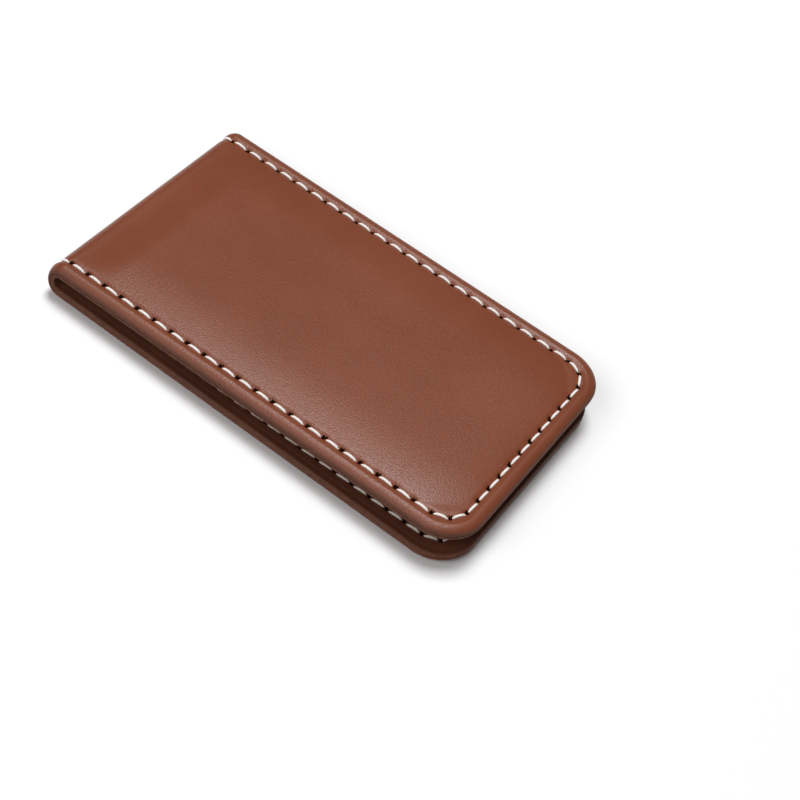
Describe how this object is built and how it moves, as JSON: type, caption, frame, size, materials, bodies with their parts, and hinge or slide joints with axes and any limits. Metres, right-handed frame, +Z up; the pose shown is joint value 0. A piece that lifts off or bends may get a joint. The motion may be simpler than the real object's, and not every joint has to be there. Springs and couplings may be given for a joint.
{
  "type": "money clip",
  "caption": "Folded leather strip with magnets sealed in both leaves; grips folded banknotes between its stitched leaves.",
  "frame": {"origin": "centre of the clip's bounding box in plan, on the plane of the lower leaf's flat underside", "axes": "+X from the fold to the free ends, +Y across the clip along the fold, +Z up from the lower leaf to the upper leaf"},
  "size_m": [0.08, 0.047, 0.0089],
  "materials": {
    "leather": "smooth semi-matte tan brown leather with a fine pebble grain",
    "lining": "matte tan brown lining leather, the same colour family as the outside",
    "needle_thread": "off-white bonded sewing thread",
    "bobbin_thread": "off-white bonded sewing thread",
    "stiffener_board": "plain grey-brown leatherboard",
    "padding": "thin off-white felt",
    "magnet": "bright nickel plating"
  },
  "bodies": {
    "lower_leaf": {"lower_outer_leather": "leather", "lower_lining": "lining", "lower_padding": "padding", "lower_stiffener_board": "stiffener_board", "lower_magnet_front": "magnet", "lower_magnet_rear": "magnet", "lower_needle_thread": "needle_thread", "lower_bobbin_thread": "bobbin_thread"},
    "fold_lower": {"fold_lower_outer_leather": "leather", "fold_lower_lining": "lining", "fold_lower_needle_thread_front": "needle_thread", "fold_lower_needle_thread_rear": "needle_thread", "fold_lower_bobbin_thread_front": "bobbin_thread", "fold_lower_bobbin_thread_rear": "bobbin_thread"},
    "fold_middle": {"fold_middle_outer_leather": "leather", "fold_middle_lining": "lining", "fold_middle_needle_thread_front": "needle_thread", "fold_middle_needle_thread_rear": "needle_thread", "fold_middle_bobbin_thread_front": "bobbin_thread", "fold_middle_bobbin_thread_rear": "bobbin_thread"},
    "fold_upper": {"fold_upper_outer_leather": "leather", "fold_upper_lining": "lining", "fold_upper_needle_thread_front": "needle_thread", "fold_upper_needle_thread_rear": "needle_thread", "fold_upper_bobbin_thread_front": "bobbin_thread", "fold_upper_bobbin_thread_rear": "bobbin_thread"},
    "upper_leaf": {"upper_outer_leather": "leather", "upper_lining": "lining", "upper_padding": "padding", "upper_stiffener_board": "stiffener_board", "upper_magnet_front": "magnet", "upper_magnet_rear": "magnet", "upper_needle_thread": "needle_thread", "upper_bobbin_thread": "bobbin_thread"}
  },
  "joints": [
    {"name": "fold_bend_1", "type": "hinge", "parent": "lower_leaf", "child": "fold_lower", "pos_m": [-0.03652, 0, 0.00052], "axis": [0, -1, 0], "range_deg": [-0.45, 43], "stiffness_Nm_per_rad": 0.05},
    {"name": "fold_bend_2", "type": "hinge", "parent": "fold_lower", "child": "fold_middle", "pos_m": [-0.03924, 0, 0.00208], "axis": [0, -1, 0], "range_deg": [-0.45, 43], "stiffness_Nm_per_rad": 0.05},
    {"name": "fold_bend_3", "type": "hinge", "parent": "fold_middle", "child": "fold_upper", "pos_m": [-0.03927, 0, 0.00521], "axis": [0, -1, 0], "range_deg": [-0.45, 43], "stiffness_Nm_per_rad": 0.05},
    {"name": "fold_bend_4", "type": "hinge", "parent": "fold_upper", "child": "upper_leaf", "pos_m": [-0.03659, 0, 0.00682], "axis": [0, -1, 0], "range_deg": [-0.45, 43], "stiffness_Nm_per_rad": 0.05}
  ],
  "couplings": [
    {"joint": "fold_bend_2", "follows": "fold_bend_1", "ratio": 1},
    {"joint": "fold_bend_3", "follows": "fold_bend_1", "ratio": 1},
    {"joint": "fold_bend_4", "follows": "fold_bend_1", "ratio": 1}
  ]
}
